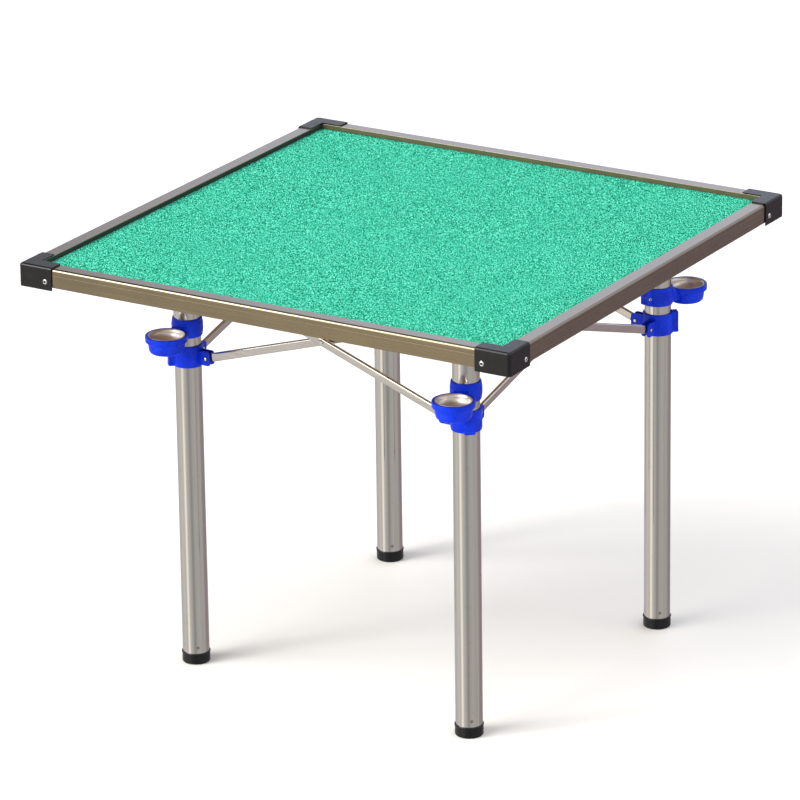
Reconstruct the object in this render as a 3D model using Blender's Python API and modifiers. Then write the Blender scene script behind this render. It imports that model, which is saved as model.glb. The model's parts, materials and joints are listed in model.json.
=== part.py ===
"""Folding card table: a framed top that lifts off a four-leg scissor frame with swivelling cup holders.

Metres, +Z up.  The origin is on the floor, under the middle of the top; X and Y run along the rails.
The leg frame stands slightly turned and off centre under the loose top, so it hangs on one empty.
"""
import math

import bmesh
import bpy
from mathutils import Matrix, Vector

# Fit between neighbouring pieces, and how far a cutter runs past what it cuts
GAP = 0.0003
OVERSHOOT = 0.010

# Limits of the mesh code
WELD = 0.00001
SMOOTH_ANGLE = math.radians(35)
QUARTER = math.pi / 2

# Facets round the turned pieces
TUBE_FACETS = 32
MOULDING_FACETS = 24
LINER_FACETS = 20
PIN_FACETS = 8
RIVET_FACETS = 10

# Top
TOP_SIDE = 0.900
CAP_TOP = 0.7235
CAP_BOTTOM = 0.6851
CAP_ARM = 0.062
CAP_WALL = 0.0016
CAP_PLATE = 0.0018
CAP_CORNER_RADIUS = 0.005
CAP_ARMS = ("a", "b")
RAIL_WIDTH = 0.0245
RAIL_TOP = CAP_TOP - CAP_PLATE - GAP
RAIL_BOTTOM = 0.6901
RAIL_WALL = 0.0016
RAIL_EDGE_RADIUS = 0.0058
RAIL_INNER_RADIUS = 0.0008
RAIL_LEDGE_SETBACK = 0.0020
RAIL_FACE = TOP_SIDE / 2 - CAP_WALL - GAP
MAT_TOP = 0.7130
MAT_THICKNESS = 0.0030
BOARD_THICKNESS = 0.0070
BOARD_TOP = MAT_TOP - MAT_THICKNESS - GAP
BOARD_BOTTOM = BOARD_TOP - BOARD_THICKNESS
BOARD_SLOT = 0.012
RIVET_FROM_CORNER = 0.0495
RIVET_HEIGHT = 0.6990
RIVET_HEAD = 0.0043
RIVET_HOLE = 0.0020
RIVET_DOME = 0.0012

# Leg frame
FRAME_CENTRE = (0.0233, 0.0112, 0.0)
FRAME_TURN = math.radians(-4.53)
LEG_PITCH = 0.5478
LEG_RADIUS = 0.0220
LEG_WALL = 0.0012
TUBE_BORE = LEG_RADIUS - LEG_WALL - GAP
FOOT_RADIUS = 0.0232
FOOT_HEIGHT = 0.0190
FOOT_PLUG = 0.030
FOOT_SOLE = 0.0040
FOOT_BEVEL = 0.0036
FOOT_FLANGE = 0.0006
FOOT_FLANGE_DEPTH = 0.0020
LEG_TOP = 0.6965
HEAD_TOP = BOARD_BOTTOM - GAP
HEAD_BEVEL = 0.0020
HEAD_SKIRT = 0.0130
HEAD_PLUG = 0.0200
OUTWARD = math.radians(225)

# Scissor braces
PIVOT_OFFSET = 0.0373
PIVOT_LOW = 0.5338
PIVOT_HIGH = 0.6854
PIN_RADIUS = 0.0024
BRACE_HEIGHT = 0.0148
BRACE_THICKNESS = 0.0070
BRACE_WALL = 0.0010
BRACE_END = 0.0085
BRACE_PLANE = 0.0042
FORK_WALL = 0.0032
FORK_GAP = 0.0004
FORK_ROOT = LEG_RADIUS + 0.0012
CHEEK_NOSE = 0.0080
CHEEK_CORNER = 0.0030
HEAD_FORK_LOW = -0.0100
HEAD_FORK_HIGH = 0.0095
PIVOT_HEAD = 0.0042
PIVOT_DOME = 0.0018

# Sliding collar
COLLAR_RADIUS = 0.0252
COLLAR_BORE = LEG_RADIUS + GAP
COLLAR_LOW = 0.5182
COLLAR_HIGH = 0.5517
COLLAR_BEVEL = 0.0010
COLLAR_FORK_LOW = -0.0115
COLLAR_FORK_HIGH = 0.0120
EAR_REACH = 0.0330
EAR_WIDTH = 0.0160
EAR_ROOT = 0.0228
EAR_STEP = 0.0008
EAR_BEVEL = 0.0012

# Cup holder
CLAMP_RADIUS = 0.0255
CLAMP_LOW = 0.5671
CLAMP_HIGH = 0.5995
LUG_REACH = 0.0305
LUG_ROOT = 0.0200
LUG_HALF = 0.0100
LUG_SETBACK = 0.0020
LUG_BEVEL = 0.0010
SLIT_HALF = 0.0008
SCREW_REACH = 0.0279
SCREW_RADIUS = 0.0012
SCREW_HEAD = 0.0028
SCREW_HEAD_RISE = 0.0016
SCREW_SHORT = 0.0007
CUP_REACH = 0.0645
CUP_RIM = 0.5878
CUP_FLOOR = 0.5588
CUP_RADIUS = 0.0345
CUP_BODY_RADIUS = 0.0297
CUP_BAND = 0.0095
CUP_WALL = 0.0022
LINER_LIP = 0.0298
LINER_RADIUS = 0.0270
LINER_DEPTH = 0.0215
LINER_WALL = 0.0008
NECK_HALF = 0.0125
NECK_END = CUP_REACH - 0.026
NECK_LOW = CUP_FLOOR + 0.0095
NECK_HIGH = CUP_RIM - 0.0008

CORNERS = ("front_left", "front_right", "back_right", "back_left")
SIDES = ("front", "right", "back", "left")
# Way each cup points, in degrees from the frame's own +X, then as a turn about its leg
CUP_TURN = {"front_left": 276.5, "front_right": 287.5, "back_right": 77.5, "back_left": 103.0}
CUP_TURNS = [math.radians(CUP_TURN[corner]) - QUARTER * index for index, corner in enumerate(CORNERS)]

COLOURS = {
    "plastic_blue": ((0.008, 0.030, 0.60), 0.38, 0.0),
    "plastic_black": ((0.012, 0.012, 0.014), 0.45, 0.0),
    "aluminium_bronze": ((0.21, 0.16, 0.095), 0.34, 1.0),
    "steel_polished": ((0.66, 0.64, 0.61), 0.16, 1.0),
    "steel_satin": ((0.62, 0.60, 0.58), 0.30, 1.0),
    "mat_green": ((0.05, 0.60, 0.34), 0.95, 0.0),
    "board_brown": ((0.34, 0.24, 0.15), 0.70, 0.0),
}


def clear_scene():
    for obj in list(bpy.data.objects):
        bpy.data.objects.remove(obj, do_unlink=True)


def new_collection(name):
    collection = bpy.data.collections.new(name)
    bpy.context.scene.collection.children.link(collection)
    return collection


def make_material(name):
    colour, roughness, metallic = COLOURS[name]
    material = bpy.data.materials.new(name)
    material.use_nodes = True
    shader = material.node_tree.nodes["Principled BSDF"]
    shader.inputs["Base Color"].default_value = (*colour, 1.0)
    shader.inputs["Roughness"].default_value = roughness
    shader.inputs["Metallic"].default_value = metallic
    return material


clear_scene()
TABLE = new_collection("folding_card_table")
CUTTERS = new_collection("construction")
MATERIALS = {name: make_material(name) for name in COLOURS}


def add_object(name, data, collection, parent=None, location=(0, 0, 0), turn=0.0):
    obj = bpy.data.objects.new(name, data)
    obj.location = location
    obj.rotation_euler = (0, 0, turn)
    obj.parent = parent
    collection.objects.link(obj)
    return obj


def add_empty(name, parent=None, location=(0, 0, 0), turn=0.0):
    empty = add_object(name, None, TABLE, parent, location, turn)
    empty.empty_display_size = 0.03
    return empty


def finish_mesh(bm, name, material=None):
    """Turn a bmesh into mesh data with outward faces and smooth round parts."""
    bmesh.ops.recalc_face_normals(bm, faces=bm.faces)
    mesh = bpy.data.meshes.new(name)
    bm.to_mesh(mesh)
    bm.free()
    mesh.shade_smooth()
    mesh.set_sharp_from_angle(angle=SMOOTH_ANGLE)
    if material:
        mesh.materials.append(MATERIALS[material])
    return mesh


def box_mesh(name, low, high, material=None, bevel=0.0):
    """A box between two corners, optionally with all edges chamfered."""
    bm = bmesh.new()
    bmesh.ops.create_cube(bm, size=1.0)
    size = [high[i] - low[i] for i in range(3)]
    middle = [(high[i] + low[i]) / 2 for i in range(3)]
    bmesh.ops.scale(bm, vec=size, verts=bm.verts)
    bmesh.ops.translate(bm, vec=middle, verts=bm.verts)
    if bevel:
        bmesh.ops.bevel(bm, geom=bm.edges[:], offset=bevel, segments=1, profile=0.5, affect="EDGES")
    return finish_mesh(bm, name, material)


def turned_mesh(name, profile, steps, material=None):
    """Turn a closed or axis-to-axis profile of (radius, height) points about Z."""
    mesh = bpy.data.meshes.new(name + "_profile")
    points = [(radius, 0.0, height) for radius, height in profile]
    edges = [(i, i + 1) for i in range(len(points) - 1)]
    if profile[0][0] > WELD:
        edges.append((len(points) - 1, 0))
    mesh.from_pydata(points, edges, [])
    helper = add_object(name + "_turning", mesh, CUTTERS)
    screw = helper.modifiers.new("turn", "SCREW")
    screw.axis = "Z"
    screw.steps = steps
    screw.render_steps = steps
    screw.use_merge_vertices = True
    screw.merge_threshold = WELD
    return evaluated_mesh(helper, name, material)


def outline_mesh(name, splines, depth, material=None):
    """Extrude flat outlines in XY to a solid from z = 0 to z = depth; later splines are holes."""
    curve = bpy.data.curves.new(name + "_outline", "CURVE")
    curve.dimensions = "2D"
    curve.fill_mode = "BOTH"
    curve.extrude = depth / 2
    for points in splines:
        spline = curve.splines.new("POLY")
        spline.points.add(len(points) - 1)
        for point, (x, y) in zip(spline.points, points):
            point.co = (x, y, 0.0, 1.0)
        spline.use_cyclic_u = True
    helper = add_object(name + "_outline", curve, CUTTERS, location=(0, 0, depth / 2))
    return evaluated_mesh(helper, name, material)


def evaluated_mesh(helper, name, material):
    """Bake a helper object to welded mesh data and remove the helper."""
    bpy.context.view_layer.update()
    graph = bpy.context.evaluated_depsgraph_get()
    baked = bpy.data.meshes.new_from_object(helper.evaluated_get(graph))
    baked.transform(helper.matrix_world)
    bpy.data.objects.remove(helper, do_unlink=True)
    bm = bmesh.new()
    bm.from_mesh(baked)
    bmesh.ops.remove_doubles(bm, verts=bm.verts, dist=WELD)
    return finish_mesh(bm, name, material)


def arc(centre, radius, start, end, count):
    """Points on an arc in degrees, both ends included."""
    step = (end - start) / (count - 1)
    angles = [math.radians(start + step * i) for i in range(count)]
    return [(centre[0] + radius * math.cos(a), centre[1] + radius * math.sin(a)) for a in angles]


def boolean(obj, tool_mesh, operation, label):
    """Join or cut an object with a hidden tool that shares its parent and place."""
    tool = add_object(f"{obj.name}_{label}", tool_mesh, CUTTERS, obj.parent, obj.location)
    tool.rotation_euler = obj.rotation_euler
    tool.hide_render = True
    tool.display_type = "WIRE"
    modifier = obj.modifiers.new(label, "BOOLEAN")
    modifier.operation = operation
    modifier.object = tool
    modifier.solver = "EXACT"


def cylinder_mesh(name, radius, low, high, steps, material=None):
    return turned_mesh(name, [(0.0, high), (radius, high), (radius, low), (0.0, low)], steps, material)


def tube_mesh(name, outer, inner, low, high, steps, material=None):
    profile = [(outer, high), (outer, low), (inner, low), (inner, high)]
    return turned_mesh(name, profile, steps, material)


def moved(mesh, matrix):
    mesh.transform(matrix)
    return mesh


# ---------------------------------------------------------------- top
def rail_section():
    """Aluminium section in (distance in from the outer face, height), with a slot for the board."""
    edge_height = RAIL_TOP - RAIL_EDGE_RADIUS
    edge = arc((RAIL_EDGE_RADIUS, edge_height), RAIL_EDGE_RADIUS, 180, 90, 4)
    inner_centre = (RAIL_WIDTH - RAIL_INNER_RADIUS, RAIL_TOP - RAIL_INNER_RADIUS)
    inner_edge = arc(inner_centre, RAIL_INNER_RADIUS, 90, 0, 3)
    slot_top = MAT_TOP + GAP
    slot_bottom = BOARD_BOTTOM - GAP
    slot_back = RAIL_WIDTH - BOARD_SLOT
    ledge = RAIL_WIDTH - RAIL_LEDGE_SETBACK
    outside = [(0.0, RAIL_BOTTOM)] + edge + inner_edge + [
        (RAIL_WIDTH, slot_top),
        (slot_back, slot_top),
        (slot_back, slot_bottom),
        (ledge, slot_bottom),
        (ledge, slot_bottom - RAIL_WALL),
        (RAIL_WALL, slot_bottom - RAIL_WALL),
        (RAIL_WALL, RAIL_BOTTOM),
    ]
    hollow = [
        (RAIL_WALL, slot_bottom + RAIL_WALL),
        (RAIL_WALL, edge_height),
        (RAIL_EDGE_RADIUS, RAIL_TOP - RAIL_WALL),
        (RAIL_WIDTH - RAIL_WALL, RAIL_TOP - RAIL_WALL),
        (RAIL_WIDTH - RAIL_WALL, slot_top + RAIL_WALL),
        (slot_back - RAIL_WALL, slot_top + RAIL_WALL),
        (slot_back - RAIL_WALL, slot_bottom + RAIL_WALL),
    ]
    return outside, hollow


def make_rails():
    length = 2 * (RAIL_FACE - RAIL_WIDTH - GAP)
    mesh = outline_mesh("rail", rail_section(), length, "aluminium_bronze")
    # The section's x axis becomes the way in from the face, its y axis becomes height.
    stand = Matrix(((0, 0, 1, -length / 2), (1, 0, 0, -RAIL_FACE), (0, 1, 0, 0), (0, 0, 0, 1)))
    moved(mesh, stand)
    for index, side in enumerate(SIDES):
        add_object(f"rail_{side}", mesh, TABLE, turn=QUARTER * index)


def make_board():
    """Board and mat, whose corners are notched to clear the corner caps."""
    half = RAIL_FACE - RAIL_WIDTH + BOARD_SLOT - GAP
    board = box_mesh("board", (-half, -half, BOARD_BOTTOM), (half, half, BOARD_TOP), "board_brown")
    mat = box_mesh("playing_mat", (-half, -half, BOARD_TOP + GAP), (half, half, MAT_TOP), "mat_green")
    corner_clear = RAIL_FACE - RAIL_WIDTH - GAP
    outer = half + OVERSHOOT
    for name, mesh in (("board", board), ("playing_mat", mat)):
        piece = add_object(name, mesh, TABLE)
        for index, corner in enumerate(CORNERS):
            notch = box_mesh("notch", (-outer, -outer, BOARD_BOTTOM - OVERSHOOT),
                             (-corner_clear, -corner_clear, MAT_TOP + OVERSHOOT))
            moved(notch, Matrix.Rotation(QUARTER * index, 4, "Z"))
            boolean(piece, notch, "DIFFERENCE", f"notch_{corner}")


def cap_outline(reach, arm, width, radius):
    """L-shaped outline of a corner cap, its outer corner towards (-, -)."""
    corner = arc((-reach + radius, -reach + radius), radius, 180, 270, 6)
    return corner + [
        (-reach + arm, -reach),
        (-reach + arm, -reach + width),
        (-reach + width, -reach + width),
        (-reach + width, -reach + arm),
        (-reach, -reach + arm),
    ]


def make_corner_caps():
    """Moulded caps over the rail ends, open below, with a hole for a rivet in each outer wall."""
    half = TOP_SIDE / 2
    width = CAP_WALL + RAIL_WIDTH + 2 * GAP
    outline = cap_outline(half, CAP_ARM, width, CAP_CORNER_RADIUS)
    outer = outline_mesh("corner_cap", [outline], CAP_TOP - CAP_BOTTOM, "plastic_black")
    moved(outer, Matrix.Translation((0, 0, CAP_BOTTOM)))
    inner_radius = CAP_CORNER_RADIUS - CAP_WALL
    hollow_outline = cap_outline(half - CAP_WALL, CAP_ARM + OVERSHOOT, width + OVERSHOOT, inner_radius)
    hollow = outline_mesh("cap_hollow", [hollow_outline], RAIL_TOP + GAP - CAP_BOTTOM + OVERSHOOT)
    moved(hollow, Matrix.Translation((0, 0, CAP_BOTTOM - OVERSHOOT)))
    reach = 2 * CAP_WALL
    for index, corner in enumerate(CORNERS):
        cap = add_object(f"corner_cap_{corner}", outer, TABLE, turn=QUARTER * index)
        boolean(cap, hollow, "DIFFERENCE", "hollow")
        for arm_index, arm in enumerate(CAP_ARMS):
            drill = cylinder_mesh("rivet_hole", RIVET_HOLE + GAP, -reach, reach, PIN_FACETS)
            boolean(cap, moved(drill, rivet_place(arm_index)), "DIFFERENCE", f"rivet_hole_{arm}")


def rivet_place(arm_index):
    """Place of a cap rivet whose head points out along local Z, on one of a cap's two arms."""
    half = TOP_SIDE / 2
    along = -half + RIVET_FROM_CORNER
    if arm_index == 0:
        return Matrix.Translation((along, -half, RIVET_HEIGHT)) @ Matrix.Rotation(QUARTER, 4, "X")
    return Matrix.Translation((-half, along, RIVET_HEIGHT)) @ Matrix.Rotation(-QUARTER, 4, "Y")


def make_cap_rivets():
    """Pop rivets: a domed head on the cap's face and a short shank through its wall."""
    profile = [
        (0.0, RIVET_DOME * 0.55),
        (RIVET_HOLE * 0.7, RIVET_DOME),
        (RIVET_HEAD * 0.8, RIVET_DOME * 0.8),
        (RIVET_HEAD, GAP),
        (RIVET_HOLE, GAP),
        (RIVET_HOLE, -CAP_WALL),
        (0.0, -CAP_WALL),
    ]
    for index, corner in enumerate(CORNERS):
        for arm_index, arm in enumerate(CAP_ARMS):
            mesh = turned_mesh("cap_rivet", profile, RIVET_FACETS, "steel_polished")
            moved(mesh, rivet_place(arm_index))
            add_object(f"cap_rivet_{corner}_{arm}", mesh, TABLE, turn=QUARTER * index)


# ---------------------------------------------------------------- legs
def make_leg_frame():
    """One empty for the whole frame and one on each leg's axis.

    On each leg local +X points to the next leg anticlockwise and local +Y to the one before.
    """
    frame = add_empty("leg_frame", None, FRAME_CENTRE, FRAME_TURN)
    half = LEG_PITCH / 2
    places = ((-half, -half), (half, -half), (half, half), (-half, half))
    axes = []
    for index, corner in enumerate(CORNERS):
        axes.append(add_empty(f"leg_axis_{corner}", frame, (*places[index], 0.0), QUARTER * index))
    return axes


def make_legs(axes):
    """Leg tubes and the flanged caps whose plugs fill the tubes' lower ends."""
    tube = tube_mesh("leg_tube", LEG_RADIUS, LEG_RADIUS - LEG_WALL, FOOT_SOLE + GAP, LEG_TOP,
                     TUBE_FACETS, "steel_polished")
    sleeve = LEG_RADIUS + GAP
    flange = FOOT_RADIUS + FOOT_FLANGE
    foot_profile = [
        (0.0, FOOT_PLUG),
        (TUBE_BORE, FOOT_PLUG),
        (TUBE_BORE, FOOT_SOLE),
        (sleeve, FOOT_SOLE),
        (sleeve, FOOT_HEIGHT),
        (flange, FOOT_HEIGHT),
        (flange, FOOT_HEIGHT - FOOT_FLANGE_DEPTH),
        (FOOT_RADIUS, FOOT_HEIGHT - FOOT_FLANGE_DEPTH - FOOT_FLANGE),
        (FOOT_RADIUS, FOOT_BEVEL),
        (FOOT_RADIUS - FOOT_BEVEL, 0.0),
        (0.0, 0.0),
    ]
    foot = turned_mesh("foot_cap", foot_profile, MOULDING_FACETS, "plastic_black")
    for corner, axis in zip(CORNERS, axes):
        add_object(f"leg_tube_{corner}", tube, TABLE, axis)
        add_object(f"foot_cap_{corner}", foot, TABLE, axis)


def fork_matrix(side, height):
    """Place a fork's own frame: local x runs out along the side and local z across the cheeks.

    The side "next" is along the leg's +X and the side "back" along its +Y.
    """
    along = Vector((1, 0, 0)) if side == "next" else Vector((0, 1, 0))
    across = Vector((0, 1, 0)) if side == "next" else Vector((1, 0, 0))
    up = across.cross(along)
    rows = [[along[i], up[i], across[i], 0.0] for i in range(3)]
    return Matrix.Translation((0, 0, height)) @ Matrix([*rows, [0, 0, 0, 1]])


def cheek_outline(low, high):
    """Side view of a fork cheek: square at the moulding, its two outer corners cut off."""
    nose = PIVOT_OFFSET + CHEEK_NOSE
    return [
        (FORK_ROOT, low),
        (nose - CHEEK_CORNER, low),
        (nose, low + CHEEK_CORNER),
        (nose, high - CHEEK_CORNER),
        (nose - CHEEK_CORNER, high),
        (FORK_ROOT, high),
    ]


def fork_meshes(side, plane, height, low, high):
    """Two cheeks from low to high about the pin's height, and the pin pressed through them."""
    meshes = []
    inner = BRACE_THICKNESS / 2 + FORK_GAP
    place = fork_matrix(side, height)
    # A fork's own y runs down on the side "next" and up on the side "back".
    span = (-high, -low) if side == "next" else (low, high)
    outline = cheek_outline(*span)
    for index, start in enumerate((plane - inner - FORK_WALL, plane + inner)):
        cheek = outline_mesh(f"cheek_{index}", [outline], FORK_WALL)
        moved(cheek, place @ Matrix.Translation((0, 0, start)))
        meshes.append(cheek)
    reach = inner + FORK_WALL / 2
    pin = cylinder_mesh("pin", PIN_RADIUS, plane - reach, plane + reach, PIN_FACETS)
    moved(pin, place @ Matrix.Translation((PIVOT_OFFSET, 0, 0)))
    meshes.append(pin)
    return meshes


def make_top_joints(axes):
    """Fixed moulding on each leg's head: a cap over the tube, a plug in it and two forks."""
    skirt = PIVOT_HIGH - HEAD_SKIRT
    profile = [
        (0.0, HEAD_TOP),
        (COLLAR_RADIUS - HEAD_BEVEL, HEAD_TOP),
        (COLLAR_RADIUS, HEAD_TOP - HEAD_BEVEL),
        (COLLAR_RADIUS, skirt),
        (COLLAR_BORE, skirt),
        (COLLAR_BORE, LEG_TOP + GAP),
        (TUBE_BORE, LEG_TOP + GAP),
        (TUBE_BORE, LEG_TOP - HEAD_PLUG),
        (0.0, LEG_TOP - HEAD_PLUG),
    ]
    body = turned_mesh("top_joint", profile, MOULDING_FACETS, "plastic_blue")
    for corner, axis in zip(CORNERS, axes):
        joint = add_object(f"top_joint_{corner}", body, TABLE, axis)
        for side, plane in (("next", -BRACE_PLANE), ("back", BRACE_PLANE)):
            tools = fork_meshes(side, plane, PIVOT_HIGH, HEAD_FORK_LOW, HEAD_FORK_HIGH)
            for index, tool in enumerate(tools):
                boolean(joint, tool, "UNION", f"fork_{side}_{index}")


def make_slide_collars(axes):
    """Sliding collar on each leg: a ring, two forks and a lock housing on the outward diagonal."""
    ring_profile = [
        (COLLAR_RADIUS - COLLAR_BEVEL, COLLAR_HIGH),
        (COLLAR_RADIUS, COLLAR_HIGH - COLLAR_BEVEL),
        (COLLAR_RADIUS, COLLAR_LOW + COLLAR_BEVEL),
        (COLLAR_RADIUS - COLLAR_BEVEL, COLLAR_LOW),
        (COLLAR_BORE, COLLAR_LOW),
        (COLLAR_BORE, COLLAR_HIGH),
    ]
    ring = turned_mesh("slide_collar", ring_profile, MOULDING_FACETS, "plastic_blue")
    housing_low = (EAR_ROOT, -EAR_WIDTH / 2, COLLAR_LOW + EAR_STEP)
    housing_high = (EAR_REACH, EAR_WIDTH / 2, COLLAR_HIGH + 2 * EAR_STEP)
    for corner, axis in zip(CORNERS, axes):
        collar = add_object(f"slide_collar_{corner}", ring, TABLE, axis)
        housing = box_mesh("housing", housing_low, housing_high, bevel=EAR_BEVEL)
        boolean(collar, moved(housing, Matrix.Rotation(OUTWARD, 4, "Z")), "UNION", "lock_housing")
        for side, plane in (("next", BRACE_PLANE), ("back", -BRACE_PLANE)):
            tools = fork_meshes(side, plane, PIVOT_LOW, COLLAR_FORK_LOW, COLLAR_FORK_HIGH)
            for index, tool in enumerate(tools):
                boolean(collar, tool, "UNION", f"fork_{side}_{index}")


# ---------------------------------------------------------------- cup holders
def cup_profile():
    """Wall of the cup in (radius, height): down the outside, and up the inside."""
    rim_edge = 0.0011
    step = 0.0025
    draft = 0.0006
    foot_rise, foot_turn = 0.0060, 0.0018
    seat_depth = 0.0060
    inside = CUP_BODY_RADIUS - CUP_WALL
    outer = [
        (CUP_RADIUS - rim_edge, CUP_RIM),
        (CUP_RADIUS, CUP_RIM - rim_edge),
        (CUP_RADIUS, CUP_RIM - CUP_BAND),
        (CUP_BODY_RADIUS + draft, CUP_RIM - CUP_BAND - step),
        (CUP_BODY_RADIUS - draft, CUP_FLOOR + foot_rise),
        (CUP_BODY_RADIUS - foot_turn - draft, CUP_FLOOR + foot_turn),
        (CUP_BODY_RADIUS - foot_rise, CUP_FLOOR),
    ]
    inner = [
        (inside - foot_rise + CUP_WALL / 2, CUP_FLOOR + CUP_WALL),
        (inside, CUP_FLOOR + foot_rise + draft),
        (LINER_LIP - 2 * draft, CUP_RIM - seat_depth),
        (LINER_LIP + GAP, CUP_RIM - rim_edge),
        (LINER_LIP + GAP, CUP_RIM),
    ]
    return outer, inner


def make_cup_holders(axes):
    """Split clamp and cup in one moulding, turned about its leg."""
    outer, inner = cup_profile()
    above = CUP_RIM + OVERSHOOT
    cup_solid = [(0.0, CUP_RIM)] + outer + [(0.0, CUP_FLOOR)]
    cup_hollow = [(0.0, above), (LINER_LIP + GAP, above)] + inner[::-1] + [(0.0, CUP_FLOOR + CUP_WALL)]
    to_cup = Matrix.Translation((CUP_REACH, 0, 0))
    below, over = CLAMP_LOW - OVERSHOOT, CLAMP_HIGH + OVERSHOOT
    for corner, axis, turn in zip(CORNERS, axes, CUP_TURNS):
        ring = cylinder_mesh("cup_clamp", CLAMP_RADIUS, CLAMP_LOW, CLAMP_HIGH,
                             MOULDING_FACETS, "plastic_blue")
        clamp = add_object(f"cup_clamp_{corner}", ring, TABLE, axis, turn=turn)
        lugs = box_mesh("lugs", (-LUG_REACH, -LUG_HALF, CLAMP_LOW + LUG_SETBACK),
                        (-LUG_ROOT, LUG_HALF, CLAMP_HIGH - LUG_SETBACK), bevel=LUG_BEVEL)
        boolean(clamp, lugs, "UNION", "closing_lugs")
        slit = box_mesh("slit", (-LUG_REACH - OVERSHOOT, -SLIT_HALF, below), (-LUG_ROOT / 2, SLIT_HALF, over))
        boolean(clamp, slit, "DIFFERENCE", "slit")
        screw_hole = cylinder_mesh("screw_hole", SCREW_RADIUS + GAP, -2 * LUG_HALF, 2 * LUG_HALF, PIN_FACETS)
        boolean(clamp, moved(screw_hole, clamp_screw_place()), "DIFFERENCE", "screw_hole")
        neck = box_mesh("neck", (LUG_ROOT, -NECK_HALF, NECK_LOW), (NECK_END, NECK_HALF, NECK_HIGH))
        boolean(clamp, neck, "UNION", "neck")
        bore = cylinder_mesh("bore", COLLAR_BORE, below, over, MOULDING_FACETS)
        boolean(clamp, bore, "DIFFERENCE", "bore")
        boolean(clamp, moved(turned_mesh("cup", cup_solid, MOULDING_FACETS), to_cup), "UNION", "cup")
        cup_hollow_mesh = turned_mesh("hollow", cup_hollow, MOULDING_FACETS)
        boolean(clamp, moved(cup_hollow_mesh, to_cup), "DIFFERENCE", "cup_hollow")


def clamp_screw_place():
    middle = (CLAMP_LOW + CLAMP_HIGH) / 2
    return Matrix.Translation((-SCREW_REACH, 0, middle)) @ Matrix.Rotation(QUARTER, 4, "X")


def make_clamp_screws(axes):
    """Screw across the clamp's closing lugs."""
    face = LUG_HALF + GAP
    tip = -LUG_HALF + SCREW_SHORT
    profile = [
        (0.0, face + SCREW_HEAD_RISE),
        (SCREW_HEAD - SCREW_HEAD_RISE / 2, face + SCREW_HEAD_RISE),
        (SCREW_HEAD, face + SCREW_HEAD_RISE / 2),
        (SCREW_HEAD, face),
        (SCREW_RADIUS, face),
        (SCREW_RADIUS, tip),
        (0.0, tip),
    ]
    for corner, axis, turn in zip(CORNERS, axes, CUP_TURNS):
        mesh = moved(turned_mesh("clamp_screw", profile, PIN_FACETS, "steel_satin"), clamp_screw_place())
        add_object(f"clamp_screw_{corner}", mesh, TABLE, axis, turn=turn)


def make_cup_liners(axes):
    """Pressed stainless dish that drops into each cup; its section in (radius, height)."""
    floor = CUP_RIM - LINER_DEPTH
    under = floor - LINER_WALL
    profile = [
        (0.0, floor),
        (LINER_RADIUS - 0.0092, floor),
        (LINER_RADIUS - 0.0042, floor + 0.0026),
        (LINER_RADIUS - 0.0014, floor + 0.0077),
        (LINER_LIP - 0.0030, CUP_RIM - 0.0045),
        (LINER_LIP - 0.0016, CUP_RIM - 0.0004),
        (LINER_LIP - 0.0006, CUP_RIM + 0.0001),
        (LINER_LIP - 0.0003, CUP_RIM - 0.0006),
        (LINER_LIP - 0.0018, CUP_RIM - 0.0035),
        (LINER_RADIUS - 0.0004, under + 0.0080),
        (LINER_RADIUS - 0.0035, under + 0.0025),
        (LINER_RADIUS - 0.0090, under),
        (0.0, under),
    ]
    mesh = turned_mesh("cup_liner", profile, LINER_FACETS, "steel_satin")
    for corner, axis, turn in zip(CORNERS, axes, CUP_TURNS):
        place = (CUP_REACH * math.cos(turn), CUP_REACH * math.sin(turn), 0)
        add_object(f"cup_liner_{corner}", mesh, TABLE, axis, place)


# ---------------------------------------------------------------- braces
def brace_section(height, thickness):
    """Flat-oval outline."""
    radius = thickness / 2
    straight = height / 2 - radius
    return arc((0.0, straight), radius, 0, 180, 5) + arc((0.0, -straight), radius, 180, 360, 5)


def brace_mesh(length):
    """Flat-oval tube along local X."""
    total = length + 2 * BRACE_END
    outer = brace_section(BRACE_HEIGHT, BRACE_THICKNESS)
    inner = brace_section(BRACE_HEIGHT - 2 * BRACE_WALL, BRACE_THICKNESS - 2 * BRACE_WALL)
    mesh = outline_mesh("brace", [outer, inner], total, "steel_polished")
    # The outline's z becomes the length, its x the thickness across the plane, its y the height.
    lay = Matrix(((0, 0, 1, -total / 2), (1, 0, 0, 0), (0, 1, 0, 0), (0, 0, 0, 1)))
    return moved(mesh, lay)


def make_braces(axes):
    """Two crossing braces a side: the outer one falls to the next leg, the inner one rises to it."""
    span = LEG_PITCH - 2 * PIVOT_OFFSET
    drop = PIVOT_HIGH - PIVOT_LOW
    length = math.hypot(span, drop)
    tilt = math.atan2(drop, span)
    middle = (LEG_PITCH / 2, (PIVOT_HIGH + PIVOT_LOW) / 2)
    mesh = brace_mesh(length)
    for side, axis in zip(SIDES, axes):
        for kind, plane, angle in (("outer", -BRACE_PLANE, tilt), ("inner", BRACE_PLANE, -tilt)):
            brace = add_object(f"brace_{side}_{kind}", mesh, TABLE, axis, (middle[0], plane, middle[1]))
            brace.rotation_euler = (0, angle, 0)
            for index, along in enumerate((-length / 2, 0.0, length / 2)):
                drill = cylinder_mesh("pin_hole", PIN_RADIUS + GAP, -OVERSHOOT, OVERSHOOT, PIN_FACETS)
                moved(drill, Matrix.Translation((along, 0, 0)) @ Matrix.Rotation(QUARTER, 4, "X"))
                boolean(brace, drill, "DIFFERENCE", f"pin_hole_{index}")
        make_centre_pivot(side, axis, middle)


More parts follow.
